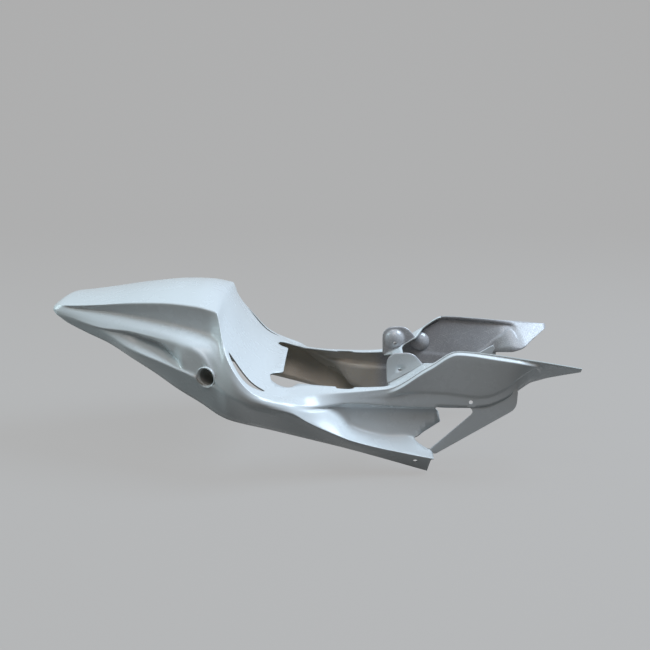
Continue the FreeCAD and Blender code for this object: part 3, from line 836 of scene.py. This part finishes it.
def laminate(name, gloss):
    """Raw back of the moulding: chopped glass strands in resin, as streaks turned five ways. gloss
    grows from 0 to 1 as the resin lies thicker over the glass."""
    f = Finish(name)
    strands = [f.ramp(f.noise(1.0, 2.0, 0.5, f.stretched(STRAND, turn)), 0.56, 0.68)
               for turn in STRAND_TURNS]
    fibre = sum(strands[1:], strands[0]) * 0.4
    cloud = f.noise(11.0, 4.0, 0.6)
    wet = f.ramp(cloud, 0.35, 0.65)
    along = f.add("ShaderNodeSeparateXYZ", None, {0: f.place}).outputs[0]
    # Behind the turn along X the resin is paler: painted light for the shaded inside of the body
    resin = f.mix(f.ramp(along, *RESIN_TURN), f.mix(cloud, *WARM_RESIN_PAINTED_LIGHT), f.mix(cloud, *GREY_RESIN))
    f.feed(f.shader, {"Base Color": f.mix(fibre * 0.8, resin, GLASS), "Roughness": 0.40 - wet * 0.16,
                      "Coat Weight": 0.3 + 0.7 * gloss, "Coat Roughness": 0.2 - 0.1 * gloss,
                      "Normal": f.bump(fibre + cloud * 1.5, 0.35, 0.001)})
    return f.material


def dull_resin(name, shades, grain, bump):
    """Dull resin in two shades, mixed by a grain, of a scale and a detail, that roughens it too."""
    f = Finish(name)
    patch = f.noise(*grain, 0.6)
    f.feed(f.shader, {"Base Color": f.mix(patch, *shades), "Roughness": 0.5 + patch * 0.2,
                      "Normal": f.bump(patch, bump, 0.0005)})
    return f.material


def floor():
    """Pale floor that turns up into a wall behind, by a quarter of a circle."""
    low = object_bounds()[0][2] - FLOOR_GAP
    turn = np.linspace(0, math.pi / 2, 10)[1:]
    flat = np.linspace(FLOOR_FRONT, FLOOR_BACK, 12)
    y = np.concatenate([flat, FLOOR_BACK + FLOOR_TURN * np.sin(turn), [FLOOR_BACK + FLOOR_TURN]])
    z = np.concatenate([np.zeros(len(flat)), FLOOR_TURN * (1 - np.cos(turn)), [FLOOR_TOP]]) + low
    sides = [np.column_stack([np.full(len(y), x), y, z]) for x in (-FLOOR_HALF, FLOOR_HALF)]
    left, right = np.arange(2 * len(y)).reshape(2, -1)
    faces = np.stack([left[:-1], right[:-1], right[1:], left[1:]], axis=1)
    piece = mesh_object("floor", np.concatenate(sides) / MM, [faces])

    f = Finish("floor_paper")
    dull = f.add("ShaderNodeBsdfDiffuse", None, {"Color": PAPER_LIT})
    lit = f.add("ShaderNodeBsdfDiffuse", None, {"Color": PAPER_SEEN})
    glow = f.add("ShaderNodeEmission", None, {"Color": PAPER_GLOW})
    pale = f.add("ShaderNodeAddShader", None, {0: lit.outputs[0], 1: glow.outputs[0]})
    f.feed(f.tree.nodes["Material Output"], {"Surface": f.either(f.seen(), dull, pale)})
    piece.data.materials.append(f.material)
    return piece


def surroundings():
    """Faint even light from all round, with a pale distance wherever the background shows."""
    world = bpy.data.worlds.new("studio")
    n = Nodes(world)
    air = n.tree.nodes["Background"]
    n.feed(air, {"Color": AIR, "Strength": AIR_STRENGTH})
    far = n.add("ShaderNodeBackground", None, {"Color": DISTANCE})
    n.feed(n.tree.nodes["World Output"], {"Surface": n.either(n.seen(), air, far)})
    bpy.context.scene.world = world


def lamps():
    """Square lamps, each tilted from straight down and turned until it faces the cowl."""
    for name, (watts, width, place, colour) in LAMPS.items():
        light = bpy.data.lights.new(name, "AREA")
        light.energy, light.size, light.color = watts, width, colour
        lamp = bpy.data.objects.new(name, light)
        lamp.location = place
        x, y, z = np.array(LAMP_AIM) - np.array(place)
        lamp.rotation_euler = (math.atan2(math.hypot(x, y), -z), 0, math.atan2(y, x) - math.pi / 2)
        bpy.context.scene.collection.objects.link(lamp)


def camera():
    """The photograph's camera, as fitted to mirrored pairs of points on the two sides."""
    lens = bpy.data.cameras.new("camera")
    lens.sensor_width = SENSOR
    lens.lens = SENSOR * FOCAL_PIXELS / PHOTO_PIXELS
    stand = bpy.data.objects.new("camera", lens)
    stand.location = CAMERA_PLACE
    stand.rotation_euler = (math.radians(CAMERA_TILT), 0, math.radians(CAMERA_PAN))
    bpy.context.scene.collection.objects.link(stand)
    bpy.context.scene.camera = stand


finishes = [gelcoat(), laminate("raw_laminate", 0.0),
            dull_resin("cut_edge", TRIMMED_RESIN, (700.0, 3.0), 0.25),
            laminate("resin_rich_laminate", 1.0),
            # The bore's darker resin is painted shade in the deep hole
            dull_resin("bore_painted_shade", BORE_PAINTED_SHADE, (90.0, 4.0), 0.2)]
for piece in (skin(), ear(), wing_boss(), collar(), strut()):
    for finish in finishes:
        piece.data.materials.append(finish)
    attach(piece, "root")
    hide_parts("seat_cowl")

floor()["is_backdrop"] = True
surroundings()
lamps()
camera()
bpy.context.scene.view_settings.view_transform = "Standard"
